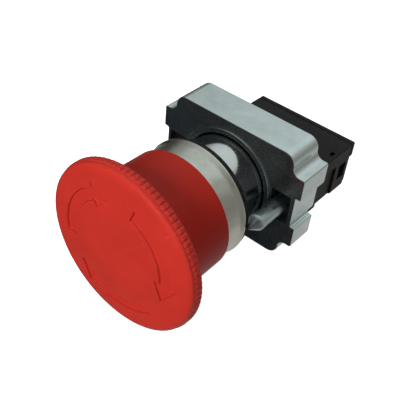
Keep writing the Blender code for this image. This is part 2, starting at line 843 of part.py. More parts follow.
def block_plunger():
    profile = [
        (0, PLUNGER_BACK),
        (1.5, PLUNGER_BACK),
        (1.5, PLUNGER_FLANGE + 0.7),
        (2.5, PLUNGER_FLANGE + 0.7),
        (2.5, PLUNGER_FLANGE),
        (PLUNGER_NECK_R, PLUNGER_FLANGE),
        (PLUNGER_NECK_R, PLUNGER_SHOULDER),
        (PLUNGER_R, PLUNGER_SHOULDER),
        (PLUNGER_R, PLUNGER_FRONT + 0.3),
        (PLUNGER_R - 0.3, PLUNGER_FRONT),
        (0, PLUNGER_FRONT),
    ]
    plunger = turned("block_plunger", profile, RED, SMALL)
    plunger.location = (0, 0, BLOCK_Z * MM)
    return plunger


def bridge_contact():
    half = STRIP_WIDTH / 2
    low = (-BRIDGE_HALF_X, BRIDGE_FRONT, BLOCK_Z - half)
    bridge = box("bridge_contact", low, (BRIDGE_HALF_X, BRIDGE_FRONT + STRIP, BLOCK_Z + half), BRASS)
    middle = BRIDGE_FRONT + STRIP / 2
    ends = (0, middle - 2, BLOCK_Z), (0, middle + 2, BLOCK_Z)
    return cut(bridge, rod("bridge_hole", *ends, PLUNGER_NECK_R + 0.2, segments=TINY))


def contact_tip(name, x, front):
    return rod(name, (x, front, BLOCK_Z), (x, front + TIP_THICK, BLOCK_Z), TIP_R, SILVER, segments=TINY)


def bridge_spring():
    front = BRIDGE_FRONT + STRIP + FIT
    points = coil_points(BRIDGE_COIL, front, PLUNGER_FLANGE - FIT, 4, (0, BLOCK_Z))
    return wire("bridge_spring", points, BRIDGE_COIL[1], SPRING_STEEL)


def plunger_spring():
    front = PLUNGER_FLANGE + 0.7 + FIT
    points = coil_points(PLUNGER_COIL, front, COVER_FRONT - FIT, 6, (0, BLOCK_Z))
    return wire("plunger_spring", points, PLUNGER_COIL[1], SPRING_STEEL)


def fixed_contact(side, word):
    """A brass strip bent twice: tip foot, riser along the side wall, terminal plate at the back."""
    foot_back = FIXED_TIP_BACK - TIP_THICK - FIT
    foot_front = foot_back - STRIP
    terminal_back = TERMINAL_FRONT + STRIP
    half = STRIP_WIDTH / 2

    def part(name, low_x, high_x, front, back, look=None):
        low_x, high_x = sorted((side * low_x, side * high_x))
        return box(name, (low_x, front, BLOCK_Z - half), (high_x, back, BLOCK_Z + half), look)

    riser_in = STRIP_OUT_X - STRIP
    strip = part(f"fixed_contact_{word}", riser_in, STRIP_OUT_X, foot_front, terminal_back, BRASS)
    foot = part(f"foot_{word}", STRIP_IN_X, STRIP_OUT_X - 0.2, foot_front, foot_back)
    plate_box = part(f"terminal_{word}", TERMINAL_IN_X, STRIP_OUT_X - 0.2, TERMINAL_FRONT, terminal_back)
    join(strip, foot, plate_box)
    x = side * TERMINAL_X
    ends = (x, 36, BLOCK_Z), (x, 40, BLOCK_Z)
    return cut(strip, rod(f"terminal_hole_{word}", *ends, TERMINAL_SCREW_R + FIT, segments=TINY))


def terminal_clamp(side, word):
    """A square clamping washer. The wire goes between it and the terminal plate."""
    x = side * TERMINAL_X
    front = TERMINAL_FRONT + STRIP + 1.5
    half = CLAMP_SIDE / 2
    low, high = (x - half + 0.3, front, BLOCK_Z - half), (x + half - 0.5, front + CLAMP_THICK, BLOCK_Z + half)
    clamp = box(f"terminal_clamp_{word}", low, high, STEEL)
    ends = (x, 36, BLOCK_Z), (x, 44, BLOCK_Z)
    return cut(clamp, rod(f"clamp_hole_{word}", *ends, TERMINAL_SCREW_R + FIT, segments=TINY))


def terminal_screw(side, word):
    front = TERMINAL_FRONT + STRIP + 1.5 + CLAMP_THICK + FIT
    head_back = front + 2.0
    profile = [
        (0, head_back),
        (TERMINAL_HEAD_R - 0.4, head_back),
        (TERMINAL_HEAD_R, head_back - 0.4),
        (TERMINAL_HEAD_R, front),
        (TERMINAL_SCREW_R, front),
        (TERMINAL_SCREW_R, 35.6),
        (TERMINAL_SCREW_R - 0.4, 35.2),
        (0, 35.2),
    ]
    screw = turned(f"terminal_screw_{word}", profile, STEEL, TINY)
    x = side * TERMINAL_X
    screw.location = (x * MM, 0, BLOCK_Z * MM)
    low, high = (x - 4, head_back - 0.8, BLOCK_Z - 0.4), (x + 4, head_back + 1, BLOCK_Z + 0.4)
    return cut(screw, box(f"driver_slot_{word}", low, high))


def build():
    head = [mushroom_cap(), cap_skirt(), release_cam(), hub_screw(), circlip()]
    slider = [spindle(), pusher_plate(), latch_spring(), release_spring()]
    bezel_ring()
    seat_gasket()
    operator_barrel()
    barrel_seal()
    spring_washer()
    return_spring()
    fixing_collar()
    carriage = [block_plunger(), bridge_contact(), bridge_spring()]
    block_housing()
    block_cover()
    plunger_spring()
    for side, word in ((1, "right"), (-1, "left")):
        pin = latch_pin(side, f"latch_pin_{word}")
        pivot(f"latch_{word}_axis", (0, PIN_Y, 0), [pin])
        clamp_screw(side, word)
        fixed_contact(side, word)
        contact_tip(f"fixed_tip_{word}", side * TIP_X, FIXED_TIP_BACK - TIP_THICK)
        carriage.append(contact_tip(f"bridge_tip_{word}", side * TIP_X, FIXED_TIP_BACK + RUN))
        terminal_clamp(side, word)
        terminal_screw(side, word)
    pivot("lock_ring_axis", (0, RING_FRONT, 0), [lock_ring()])
    twist = pivot("twist_axis", (0, SPINDLE_FRONT, 0), head)
    pivot("push_axis", (0, SPINDLE_FRONT, 0), [twist, *slider])
    pivot("contact_axis", (0, PLUNGER_FRONT, BLOCK_Z), carriage)


build()
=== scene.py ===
import math

import bmesh
import bpy
from mathutils import Matrix, Vector


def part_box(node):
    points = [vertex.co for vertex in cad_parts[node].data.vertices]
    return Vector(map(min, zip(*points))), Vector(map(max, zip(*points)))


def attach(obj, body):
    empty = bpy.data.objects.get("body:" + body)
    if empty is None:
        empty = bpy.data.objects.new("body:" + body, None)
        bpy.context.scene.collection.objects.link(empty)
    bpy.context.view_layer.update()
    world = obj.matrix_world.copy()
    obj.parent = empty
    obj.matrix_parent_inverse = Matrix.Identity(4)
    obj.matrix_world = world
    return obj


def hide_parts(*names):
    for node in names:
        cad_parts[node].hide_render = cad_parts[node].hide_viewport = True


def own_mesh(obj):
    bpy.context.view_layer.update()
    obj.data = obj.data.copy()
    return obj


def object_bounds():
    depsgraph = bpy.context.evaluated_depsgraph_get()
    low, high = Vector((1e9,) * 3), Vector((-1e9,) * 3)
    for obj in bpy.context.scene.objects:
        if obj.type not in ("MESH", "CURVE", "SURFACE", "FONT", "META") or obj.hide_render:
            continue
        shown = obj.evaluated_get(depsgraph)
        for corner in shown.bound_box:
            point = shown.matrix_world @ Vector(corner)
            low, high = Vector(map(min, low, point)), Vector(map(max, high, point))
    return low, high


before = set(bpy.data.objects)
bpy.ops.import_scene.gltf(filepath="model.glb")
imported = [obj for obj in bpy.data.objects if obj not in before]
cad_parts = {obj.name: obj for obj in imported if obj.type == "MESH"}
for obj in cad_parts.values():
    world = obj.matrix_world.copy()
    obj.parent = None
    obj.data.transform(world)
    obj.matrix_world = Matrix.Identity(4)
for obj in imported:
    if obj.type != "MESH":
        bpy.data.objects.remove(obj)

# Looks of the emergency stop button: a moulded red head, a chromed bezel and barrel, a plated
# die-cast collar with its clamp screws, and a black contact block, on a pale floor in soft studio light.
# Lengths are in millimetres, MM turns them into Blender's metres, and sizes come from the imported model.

CAD_LOW, CAD_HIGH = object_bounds()
MM = 0.001
SCALE = 1 / MM
ROUND = 192  # steps round a large turned piece
SMALL_ROUND = 64
WIRE_RESOLUTION = 3
WELD = 1e-7  # metres; end caps of a wire are joined to it where they meet this closely
FLAT_WEIGHT = 100  # large flat faces keep their own normals beside a rounded edge


def low(node):
    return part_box(node)[0] * SCALE


def high(node):
    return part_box(node)[1] * SCALE


def middle(node):
    return (low(node) + high(node)) / 2


# Materials


class Look:
    """A material's node tree around one Principled shader. Positions are the object's own, in metres."""

    def __init__(self, name, roughness, metallic=0.0, **sockets):
        self.material = bpy.data.materials.new(name)
        self.material.use_nodes = True
        self.tree = self.material.node_tree
        self.shader = self.tree.nodes["Principled BSDF"]
        self.shader.inputs["Metallic"].default_value = metallic
        self.shader.inputs["Roughness"].default_value = roughness
        for socket, value in sockets.items():
            self.shader.inputs[socket.replace("_", " ")].default_value = value
        self.place = self.tree.nodes.new("ShaderNodeTexCoord").outputs["Object"]
        self.normal = None

    def node(self, kind, links=None, **settings):
        made = self.tree.nodes.new(kind)
        for key, value in settings.items():
            setattr(made, key, value)
        for socket, value in (links or {}).items():
            if isinstance(value, bpy.types.NodeSocket):
                self.tree.links.new(value, made.inputs[socket])
            else:
                made.inputs[socket].default_value = value
        return made

    def noise(self, size, detail=2.0, vector=None, rough=0.5):
        """Noise whose features are about size millimetres across."""
        links = {"Vector": vector or self.place, "Scale": 1 / (size * MM)}
        links.update({"Detail": detail, "Roughness": rough})
        return self.node("ShaderNodeTexNoise", links).outputs["Fac"]

    def spread(self, value, start, end, out_start=0.0, out_end=1.0):
        """The value moved from one range to another, and held inside it."""
        links = {0: value, 1: start, 2: end, 3: out_start, 4: out_end}
        return self.node("ShaderNodeMapRange", links, clamp=True).outputs[0]

    def mix(self, factor, first, second):
        links = {"Factor": factor, "A": first, "B": second}
        made = self.node("ShaderNodeMix", data_type="RGBA")
        for socket, value in links.items():
            named = [s for s in made.inputs if s.name == socket and s.enabled]
            target = [s for s in named if s.type in ("RGBA", "VALUE")][0]
            if isinstance(value, bpy.types.NodeSocket):
                self.tree.links.new(value, target)
            else:
                target.default_value = value
        return [s for s in made.outputs if s.enabled][0]

    def math(self, operation, first, second=0.0):
        return self.node("ShaderNodeMath", {0: first, 1: second}, operation=operation).outputs[0]

    def turned_place(self):
        """Distance from the button's axis and place along it, for marks that run round a turned piece."""
        parts = self.node("ShaderNodeSeparateXYZ", {0: self.place}).outputs
        squares = [self.math("POWER", parts[axis], 2.0) for axis in ("X", "Z")]
        radius = self.math("SQRT", self.math("ADD", *squares))
        return self.node("ShaderNodeCombineXYZ", {"X": radius, "Y": parts["Y"]}).outputs[0]

    def bump(self, height, depth, strength=1.0):
        """Bumps depth millimetres high."""
        links = {"Height": height, "Distance": depth * MM, "Strength": strength}
        if self.normal is not None:
            links["Normal"] = self.normal
        self.normal = self.node("ShaderNodeBump", links).outputs[0]
        self.tree.links.new(self.normal, self.shader.inputs["Normal"])

    def colour(self, socket):
        self.tree.links.new(socket, self.shader.inputs["Base Color"])

    def rough(self, socket):
        self.tree.links.new(socket, self.shader.inputs["Roughness"])

    def worn_edges(self, amount=1.0):
        """1 on sharp outer edges, 0 elsewhere."""
        pointiness = self.node("ShaderNodeNewGeometry").outputs["Pointiness"]
        return self.spread(pointiness, 0.52, 0.60, 0.0, amount)


def plastic(name, colour, pale, roughness, grain=0.004, gloss=0.5):
    """Moulded plastic: slow colour drift, fine grain, and edges polished a little paler by handling."""
    look = Look(name, roughness, Specular_IOR_Level=gloss)
    drift = look.spread(look.noise(9.0, 3.0), 0.35, 0.65)
    deep = tuple(c * 0.9 for c in colour[:3]) + (1.0,)
    body = look.mix(drift, colour, deep)
    scuffs = look.math("MULTIPLY", look.worn_edges(0.35), look.spread(look.noise(1.2, 4.0), 0.4, 0.7))
    look.colour(look.mix(scuffs, body, pale))
    look.rough(look.spread(look.noise(0.9, 4.0), 0.3, 0.7, roughness - 0.04, roughness + 0.06))
    look.bump(look.noise(0.16, 3.0), grain)
    return look.material


def turned_metal(name, colour, dull, roughness, marks=0.0012, blotches=0.0):
    """Plated metal with fine turning marks, and a plating that is a little duller in places."""
    look = Look(name, roughness, metallic=1.0)
    patches = look.spread(look.noise(4.0, 4.0), 0.42, 0.72)
    look.colour(look.mix(patches, colour, dull))
    look.rough(look.spread(look.noise(1.6, 5.0), 0.3, 0.75, roughness * 0.8, roughness * 1.5))
    look.bump(look.noise(0.09, 2.0, look.turned_place()), marks)
    if blotches:
        look.bump(look.noise(3.2, 2.0), blotches)
    return look.material


def cast_metal(name, colour, dull, roughness, ripple, grain, metallic=1.0):
    """Die-cast zinc under bright plating: a gentle ripple from the die and a fine skin."""
    look = Look(name, roughness, metallic=metallic)
    patches = look.spread(look.noise(6.0, 4.0), 0.4, 0.7)
    worn = look.worn_edges(0.6)
    skin = look.mix(patches, colour, dull)
    bright = tuple(min(1.0, c * 1.12) for c in colour[:3]) + (1.0,)
    look.colour(look.mix(worn, skin, bright))
    look.rough(look.spread(look.noise(2.2, 5.0), 0.3, 0.75, roughness * 0.7, roughness * 1.5))
    look.bump(look.noise(5.5, 1.0), ripple)
    look.bump(look.noise(0.25, 4.0), grain)
    return look.material


def drawn_wire(name, colour, roughness):
    """Spring wire with drawing marks and a thin film of oil."""
    look = Look(name, roughness, metallic=1.0, Coat_Weight=0.15, Coat_Roughness=0.2)
    dark = tuple(c * 0.6 for c in colour[:3]) + (1.0,)
    look.colour(look.mix(look.spread(look.noise(0.5, 4.0), 0.35, 0.7), colour, dark))
    look.rough(look.spread(look.noise(0.2, 3.0), 0.3, 0.7, roughness * 0.8, roughness * 1.4))
    look.bump(look.noise(0.06, 3.0), 0.001)
    return look.material


def rubber(name, colour):
    look = Look(name, 0.7, Specular_IOR_Level=0.35)
    dusty = tuple(c * 2.6 + 0.01 for c in colour[:3]) + (1.0,)
    look.colour(look.mix(look.spread(look.noise(0.7, 5.0), 0.5, 0.75), colour, dusty))
    look.rough(look.spread(look.noise(0.5, 4.0), 0.3, 0.7, 0.6, 0.85))
    look.bump(look.noise(0.12, 4.0), 0.012)
    return look.material


RED = plastic("red_gloss", (0.55, 0.032, 0.021, 1), (0.62, 0.09, 0.065, 1), 0.36, gloss=0.22)
# The skirt is moulded in the cap's red plastic; its colour here is that red made a little darker, which is
# painted shade.
SHADED_RED_SKIRT = plastic("red_skirt_painted_shade", (0.53, 0.024, 0.014, 1), (0.6, 0.07, 0.05, 1), 0.36, gloss=0.12)
RED_PLUNGER = plastic("red_plunger", (0.5, 0.03, 0.02, 1), (0.65, 0.12, 0.1, 1), 0.42)
WHITE = plastic("white_acetal", (0.62, 0.61, 0.57, 1), (0.74, 0.73, 0.7, 1), 0.42)
BLACK = plastic("black_nylon", (0.016, 0.0145, 0.0125, 1), (0.04, 0.037, 0.033, 1), 0.5, 0.008, 0.2)
RUBBER = rubber("black_rubber", (0.011, 0.011, 0.012, 1))
CHROME = turned_metal("chrome_bezel", (0.70, 0.69, 0.62, 1), (0.58, 0.57, 0.50, 1), 0.2)
BARREL = turned_metal("chrome_barrel", (0.74, 0.74, 0.73, 1), (0.62, 0.62, 0.61, 1), 0.1, 0.0005)
ZINC = cast_metal("zinc_casting", (0.74, 0.80, 0.79, 1), (0.62, 0.69, 0.68, 1), 0.24, 0.014, 0.0015, 0.985)
SCREW_ZINC = turned_metal("screw_zinc", (0.66, 0.74, 0.76, 1), (0.54, 0.61, 0.63, 1), 0.32, 0.0012, 0.002)
STEEL = turned_metal("plated_steel", (0.60, 0.61, 0.62, 1), (0.46, 0.47, 0.48, 1), 0.24, 0.002, 0.004)
SPRING = drawn_wire("spring_wire", (0.47, 0.48, 0.50, 1), 0.28)
BRASS = cast_metal("brass_strip", (0.78, 0.56, 0.24, 1), (0.6, 0.4, 0.15, 1), 0.24, 0.006, 0.002)
SILVER = cast_metal("silver_alloy", (0.88, 0.87, 0.85, 1), (0.7, 0.69, 0.66, 1), 0.22, 0.004, 0.002)


# Mesh helpers


def finished(bm, name, material, sharp=35):
    bmesh.ops.recalc_face_normals(bm, faces=bm.faces)
    mesh = bpy.data.meshes.new(name)
    bm.to_mesh(mesh)
    bm.free()
    mesh.shade_smooth()
    mesh.set_sharp_from_angle(angle=math.radians(sharp))
    mesh.materials.append(material)
    obj = bpy.data.objects.new(name, mesh)
    bpy.context.scene.collection.objects.link(obj)
    return obj


def rounded(corners, closed=True, steps=5):
    """The outline through (x, y, radius) corners, each corner turned into an arc of its radius."""
    points = []
    count = len(corners)
    for i, (x, y, radius) in enumerate(corners):
        here = Vector((x, y))
        ends = closed or 0 < i < count - 1
        if not radius or not ends:
            points.append((x, y))
            continue
        before = (Vector(corners[i - 1][:2]) - here).normalized()
        after = (Vector(corners[(i + 1) % count][:2]) - here).normalized()
        half = before.angle(after) / 2
        centre = here + (before + after).normalized() * radius / math.sin(half)
        start = here + before * radius / math.tan(half) - centre
        turn = start.angle_signed(here + after * radius / math.tan(half) - centre)
        for k in range(steps + 1):
            angle = -turn * k / steps
            c, s = math.cos(angle), math.sin(angle)
            points.append((centre.x + start.x * c - start.y * s, centre.y + start.x * s + start.y * c))
    return points


def turned(name, profile, material, steps=ROUND, centre=(0, 0), shape=None):
    """A piece turned about an axis along Y. The profile lists (radius, y). It closes on itself, or on the
    axis where it has a point with radius 0. shape(radius, y, angle) may change the radius."""
    bm = bmesh.new()
    loops = []
    for radius, y in profile:
        if radius <= 0:
            loops.append([bm.verts.new((centre[0] * MM, y * MM, centre[1] * MM))])
            continue
        loop = []
        for k in range(steps):
            angle = 2 * math.pi * k / steps
            reach = shape(radius, y, angle) if shape else radius
            x, z = centre[0] + reach * math.cos(angle), centre[1] + reach * math.sin(angle)
            loop.append(bm.verts.new((x * MM, y * MM, z * MM)))
        loops.append(loop)
    pairs = list(zip(loops, loops[1:]))
    if len(loops[0]) > 1 and len(loops[-1]) > 1:
        pairs.append((loops[-1], loops[0]))
    for first, second in pairs:
        for k in range(steps):
            corners = [first[k % len(first)], first[(k + 1) % len(first)]]
            corners += [second[(k + 1) % len(second)], second[k % len(second)]]
            corners = list(dict.fromkeys(corners))
            if len(corners) > 2:
                bm.faces.new(corners)
    return finished(bm, name, material)


def prism(name, outline, front, back, material, edge=0.0, steps=2):
    """An outline of (x, z) points pushed along Y, with its rims rounded."""
    bm = bmesh.new()
    face = bm.faces.new([bm.verts.new((x * MM, front * MM, z * MM)) for x, z in outline])
    pushed = bmesh.ops.extrude_face_region(bm, geom=[face])
    moved = [item for item in pushed["geom"] if isinstance(item, bmesh.types.BMVert)]
    bmesh.ops.translate(bm, vec=(0, (back - front) * MM, 0), verts=moved)
    if edge:
        rims = [e for e in bm.edges if abs(e.verts[0].co.y - e.verts[1].co.y) < 1e-7]
        bmesh.ops.bevel(bm, geom=rims, offset=edge * MM, segments=steps, profile=0.5, affect="EDGES")
    return finished(bm, name, material)


def block(name, corner_low, corner_high, material, edge=0.2, steps=2):
    """A box with rounded edges."""
    bm = bmesh.new()
    bmesh.ops.create_cube(bm, size=1)
    start, end = Vector(corner_low) * MM, Vector(corner_high) * MM
    bmesh.ops.scale(bm, vec=end - start, verts=bm.verts)
    bmesh.ops.translate(bm, vec=(start + end) / 2, verts=bm.verts)
    if edge:
        bmesh.ops.bevel(bm, geom=bm.edges[:], offset=edge * MM, segments=steps, profile=0.5, affect="EDGES")
    return finished(bm, name, material)


def polar(radius, degrees):
    return radius * math.cos(math.radians(degrees)), radius * math.sin(math.radians(degrees))


def arc(radius, start, end, steps):
    """Points on an arc about the origin, in degrees."""
    return [polar(radius, start + (end - start) * k / steps) for k in range(steps + 1)]


def applied(obj):
    """The object with its modifiers made part of its mesh."""
    bpy.context.view_layer.update()
    mesh = bpy.data.meshes.new_from_object(obj.evaluated_get(bpy.context.evaluated_depsgraph_get()))
    obj.modifiers.clear()
    obj.data = mesh
    return obj


def carved(obj, cutters, operation="DIFFERENCE", edge=0.0):
    """The object with the cutters taken away or joined on. The cutters are removed."""
    for cutter in cutters:
        modifier = obj.modifiers.new(cutter.name, "BOOLEAN")
        modifier.object = cutter
        modifier.operation = operation
        modifier.solver = "MANIFOLD"
    if edge:
        modifier = obj.modifiers.new("edges", "BEVEL")
        modifier.width = edge * MM
        modifier.segments = 2
        modifier.angle_limit = math.radians(50)
    applied(obj)
    for cutter in cutters:
        bpy.data.objects.remove(cutter)
    return obj


def smooth(obj, sharp=35):
    obj.data.shade_smooth()
    obj.data.set_sharp_from_angle(angle=math.radians(sharp))
    return obj


def tube(name, points, radius, material):
    """A round wire through the points, with closed ends."""
    data = bpy.data.curves.new(name, "CURVE")
    data.dimensions = "3D"
    data.bevel_depth = radius * MM
    data.bevel_resolution = WIRE_RESOLUTION
    data.use_fill_caps = True
    spline = data.splines.new("POLY")
    spline.points.add(len(points) - 1)
    for point, place in zip(spline.points, points):
        point.co = (*(Vector(place) * MM), 1)
    curve = bpy.data.objects.new(name, data)
    bpy.context.scene.collection.objects.link(curve)
    bpy.context.view_layer.update()
    mesh = bpy.data.meshes.new_from_object(curve.evaluated_get(bpy.context.evaluated_depsgraph_get()))
    bpy.data.objects.remove(curve)
    bm = bmesh.new()
    bm.from_mesh(mesh)
    bmesh.ops.remove_doubles(bm, verts=bm.verts, dist=WELD)
    bm.to_mesh(mesh)
    bm.free()
    mesh.materials.clear()
    mesh.materials.append(material)
    mesh.shade_smooth()
    obj = bpy.data.objects.new(name, mesh)
    bpy.context.scene.collection.objects.link(obj)
    return obj


def placed(piece, body, slot, *nodes):
    """Makes the piece ride on its body and stand for the CAD nodes. The slot is not used."""
    weighting = piece.modifiers.new("flat_faces", "WEIGHTED_NORMAL")
    weighting.keep_sharp = True
    weighting.weight = FLAT_WEIGHT
    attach(piece, body)
    if nodes:
        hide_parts(*nodes)


# The head

CAP_R = high("mushroom_cap").x
CAP_APEX = low("mushroom_cap").y
CAP_BACK = high("mushroom_cap").y
SKIRT_R = high("cap_skirt").x
CAP_DOME = 1.3
CAP_EDGE = 2.3  # radius of the rounded edge between face and rim
RIB_COUNT = 93
RIB_HEIGHT = 0.27
RIB_FRONT = CAP_BACK - 2.7
RIB_BACK = CAP_BACK - 0.9
RIB_STEPS = 10
FACE_R = CAP_R - 2.0
SHOULDER_DROP = 1.0  # the rounded edge starts this far behind the dome's rim, clear of the ribs


def face_y(radius):
    """Where the domed face lies at a radius."""
    return CAP_APEX + CAP_DOME * (radius / FACE_R) ** 2


def cap_profile():
    """(radius, y) from the socket over the rim to the middle of the face."""
    base = CAP_R - RIB_HEIGHT
    socket_r = SKIRT_R + 0.1
    points = [(0, CAP_BACK - 2.0), (socket_r - 0.4, CAP_BACK - 2.0), (socket_r, CAP_BACK - 1.7)]
    points += [(socket_r, CAP_BACK - 0.15), (socket_r + 0.15, CAP_BACK)]
    points += [(base - 1.6, CAP_BACK), (base - 1.0, CAP_BACK - 0.08), (base - 0.5, CAP_BACK - 0.3)]
    points += [(base - 0.15, CAP_BACK - 0.6), (base, RIB_BACK)]
    rows = 10
    points += [(base, RIB_BACK + (RIB_FRONT - RIB_BACK) * k / rows) for k in range(1, rows + 1)]
    shoulder = CAP_APEX + CAP_DOME
    points.append((base, RIB_FRONT - 0.12))
    start_y = shoulder + SHOULDER_DROP
    for k in range(13):
        angle = math.radians(90 * k / 12)
        radius = base - CAP_EDGE * (1 - math.cos(angle)) * 0.92
        points.append((radius, start_y - (start_y - face_y(base - CAP_EDGE)) * math.sin(angle)))
    inner = points[-1][0]
    rings = 14
    for k in range(1, rings + 1):
        radius = inner * (1 - k / rings)
        points.append((radius, face_y(radius)))
    return points


def ribbed(radius, y, angle):
    """Raises rounded teeth on the rim, with soft ends at the front and back."""
    if not RIB_FRONT - 0.01 <= y <= RIB_BACK + 0.45 or radius < CAP_R - 2:
        return radius
    along = min((y - RIB_FRONT) / 0.55, (RIB_BACK + 0.4 - y) / 0.6, 1)
    if along <= 0:
        return radius
    share = (angle * RIB_COUNT / (2 * math.pi)) % 1
    from_groove = min(share, 1 - share)
    crown = 1 - math.exp(-((from_groove / 0.13) ** 2))
    return radius + RIB_HEIGHT * crown * math.sin(along * math.pi / 2)


ARROWS = 3
ARROW_MIDDLE_R = 13.35
ARROW_HALF = 1.35
ARROW_BARB = 2.7
ARROW_TAIL, ARROW_BASE, ARROW_TIP = 72.0, 0.0, -21.0  # degrees from +X towards +Z
ARROW_DEPTH = 0.55
ARROW_STEPS = 22


def arrow_outline(inset):
    """A clockwise arrow as (x, z) points, drawn in by inset."""
    half, barb = ARROW_HALF - inset, ARROW_BARB - inset * 2.0
    along = math.degrees(inset / ARROW_MIDDLE_R)
    tail, base, tip = ARROW_TAIL - along, ARROW_BASE - along, ARROW_TIP + along * 2.2
    head = [polar(ARROW_MIDDLE_R + barb, base), polar(ARROW_MIDDLE_R, tip)]
    head.append(polar(ARROW_MIDDLE_R - barb, base))
    outer = arc(ARROW_MIDDLE_R + half, tail, base, ARROW_STEPS)
    return outer + head + arc(ARROW_MIDDLE_R - half, base, tail, ARROW_STEPS)


def arrow_cutter(index):
    """The recess's shape: a flat floor with soft edges, following the dome, and a rounded upper lip."""
    turn = math.radians(index * 360 / ARROWS)
    c, s = math.cos(turn), math.sin(turn)
    levels = ((ARROW_DEPTH, 0.16), (ARROW_DEPTH - 0.05, 0.06), (ARROW_DEPTH - 0.16, 0.0), (0.1, -0.02))
    levels += ((0.02, -0.08), (-0.06, -0.18), (-1.0, -0.18))
    bm = bmesh.new()
    loops = []
    for depth, inset in levels:
        loop = []
        for x, z in arrow_outline(inset):
            y = face_y(math.hypot(x, z)) + depth
            loop.append(bm.verts.new(((x * c - z * s) * MM, y * MM, (x * s + z * c) * MM)))
        loops.append(loop)
    count = len(loops[0])
    for first, second in zip(loops, loops[1:]):
        for k in range(count):
            bm.faces.new((first[k], first[(k + 1) % count], second[(k + 1) % count], second[k]))
    for loop in (loops[0], loops[-1]):
        for k in range(ARROW_STEPS):
            bm.faces.new((loop[k], loop[k + 1], loop[-k - 2], loop[-k - 1]))
        bm.faces.new(loop[ARROW_STEPS:ARROW_STEPS + 5])
    return finished(bm, f"arrow_cutter_{index}", RED)


def cap():
    piece = turned("cap_moulding", cap_profile(), RED, RIB_COUNT * RIB_STEPS, shape=ribbed)
    carved(piece, [arrow_cutter(i) for i in range(ARROWS)])
    placed(smooth(piece, 40), "head", "red_gloss", "mushroom_cap")


def skirt():
    front, back = low("cap_skirt").y, high("cap_skirt").y
    back_r, bore, disc = SKIRT_R - 0.25, SKIRT_R - 0.7, 1.6
    corners = [(1.9, front, 0), (SKIRT_R, front, 0.1), (back_r, back, 0.22), (bore, back, 0.1)]
    corners += [(bore, front + disc, 0.4), (1.9, front + disc, 0)]
    # The skirt's darker red is painted shade on the cap's red plastic.
    piece = turned("skirt_moulding", rounded(corners), SHADED_RED_SKIRT)
    seat_profile = [(0, front - 1), (3.3, front - 1), (3.3, front + 0.7), (0, front + 0.7)]
    seat = turned("seat_cutter", seat_profile, RED)
    carved(piece, [seat])
    placed(smooth(piece), "head", "red_satin", "cap_skirt")


# The bezel, gasket and barrel

BARREL_R = 11.0
BEZEL_FRONT = low("bezel_ring").y
BEZEL_BACK = high("bezel_ring").y
BEZEL_FLANGE = high("bezel_ring").x
BEZEL_R = BEZEL_FLANGE - 0.75
BEZEL_REAR_R = BEZEL_FLANGE - 0.35


def bezel():
    bore = high("operator_barrel").x + 0.1
    corners = [(bore, BEZEL_BACK, 0), (BEZEL_FLANGE, BEZEL_BACK, 0.2)]
    corners.append((BEZEL_FLANGE, BEZEL_BACK - 0.45, 0.12))
    corners += [(BEZEL_REAR_R, BEZEL_BACK - 1.6, 3.0), (BEZEL_R, BEZEL_BACK - 6, 6.0)]
    corners += [(BEZEL_R, BEZEL_FRONT, 0.4), (bore, BEZEL_FRONT, 0.1)]
    placed(turned("bezel_turning", rounded(corners), CHROME), "base", "chrome_plating", "bezel_ring")


def gasket():
    front, back, reach = low("seat_gasket").y, high("seat_gasket").y, high("seat_gasket").x
    bore = BARREL_R + 0.1
    groove = 0.12
    thick = back - front
    corners = [(bore, back, 0.1), (reach, back, 0.2), (reach, back - thick * 0.36, 0.06)]
    corners += [(reach - groove, back - thick * 0.5, 0.06), (reach, front + thick * 0.36, 0.06)]
    corners += [(reach, front, 0.2), (bore, front, 0.1)]
    placed(turned("gasket_moulding", rounded(corners), RUBBER), "base", "rubber", "seat_gasket")


def barrel():
    """Chromed tube: head under the bezel, smooth shank, locking groove and three bayonet slots."""
    front, back, head_r = low("operator_barrel").y, high("operator_barrel").y, high("operator_barrel").x
    web_bore, seal_r, seal_back, web_back, bore = 6.9, 8.2, front + 1.8, front + 3.8, 8.4
    ramp_start, ramp_end, wide = 2.0, 8.0, 9.4
    groove_front, groove_back, groove_r = back - 2.7, back - 0.9, 10.1
    corners = [
        (wide, back, 0.15), (BARREL_R, back, 0.35), (BARREL_R, groove_back, 0.1),
        (groove_r, groove_back, 0.1), (groove_r, groove_front, 0.1), (BARREL_R, groove_front, 0.1),
        (BARREL_R, BEZEL_BACK + 0.05, 0.1), (head_r, BEZEL_BACK + 0.05, 0.1), (head_r, front, 0.3),
        (seal_r, front, 0.15), (seal_r, seal_back, 0.1), (web_bore, seal_back, 0.15),
        (web_bore, web_back, 0.15), (bore, web_back, 0.2), (bore, ramp_start, 0.5), (wide, ramp_end, 0.5),
    ]
    piece = turned("barrel_turning", rounded(corners, steps=4), BARREL)
    slots = []
    for i in range(3):
        mid = 75 + i * 120
        outline = arc(12, mid - 14, mid + 14, 10) + arc(groove_r, mid + 14, mid - 14, 10)
        slots.append(prism(f"slot_cutter_{i}", outline, groove_back - 0.7, back + 1, BARREL))
    carved(piece, slots)
    placed(smooth(piece), "base", "chrome_plating", "operator_barrel")


# The fixing collar

COLLAR_X = high("fixing_collar").x
COLLAR_Z = high("fixing_collar").z
COLLAR_BACK = high("fixing_collar").y
BOSS_FRONT = low("fixing_collar").y
COLLAR_FRONT = BOSS_FRONT + 0.85
COLLAR_MAIN_X = 16.7
EAR_Z = 9.7
SLOT_Z = 4.12
SLOT_IN_X = 18.7
CHANNEL_Z = 3.9
CHANNEL_IN_X = 12.6
CHANNEL_OUT_X = 17.75
CHANNEL_BACK = COLLAR_FRONT + 4.0
FOOT_IN_X = 17.2
FOOT_BACK = 17.4
FOOT_TOP = -3.5
BOSS_R = 12.4
COLLAR_BORE = 11.3
COLLAR_RIM = 0.3  # rounding of the casting's rims; every corner of its outline is rounder than this
SCREW_X = middle("clamp_screw_right").x
SCREW_R = high("clamp_screw_right").z


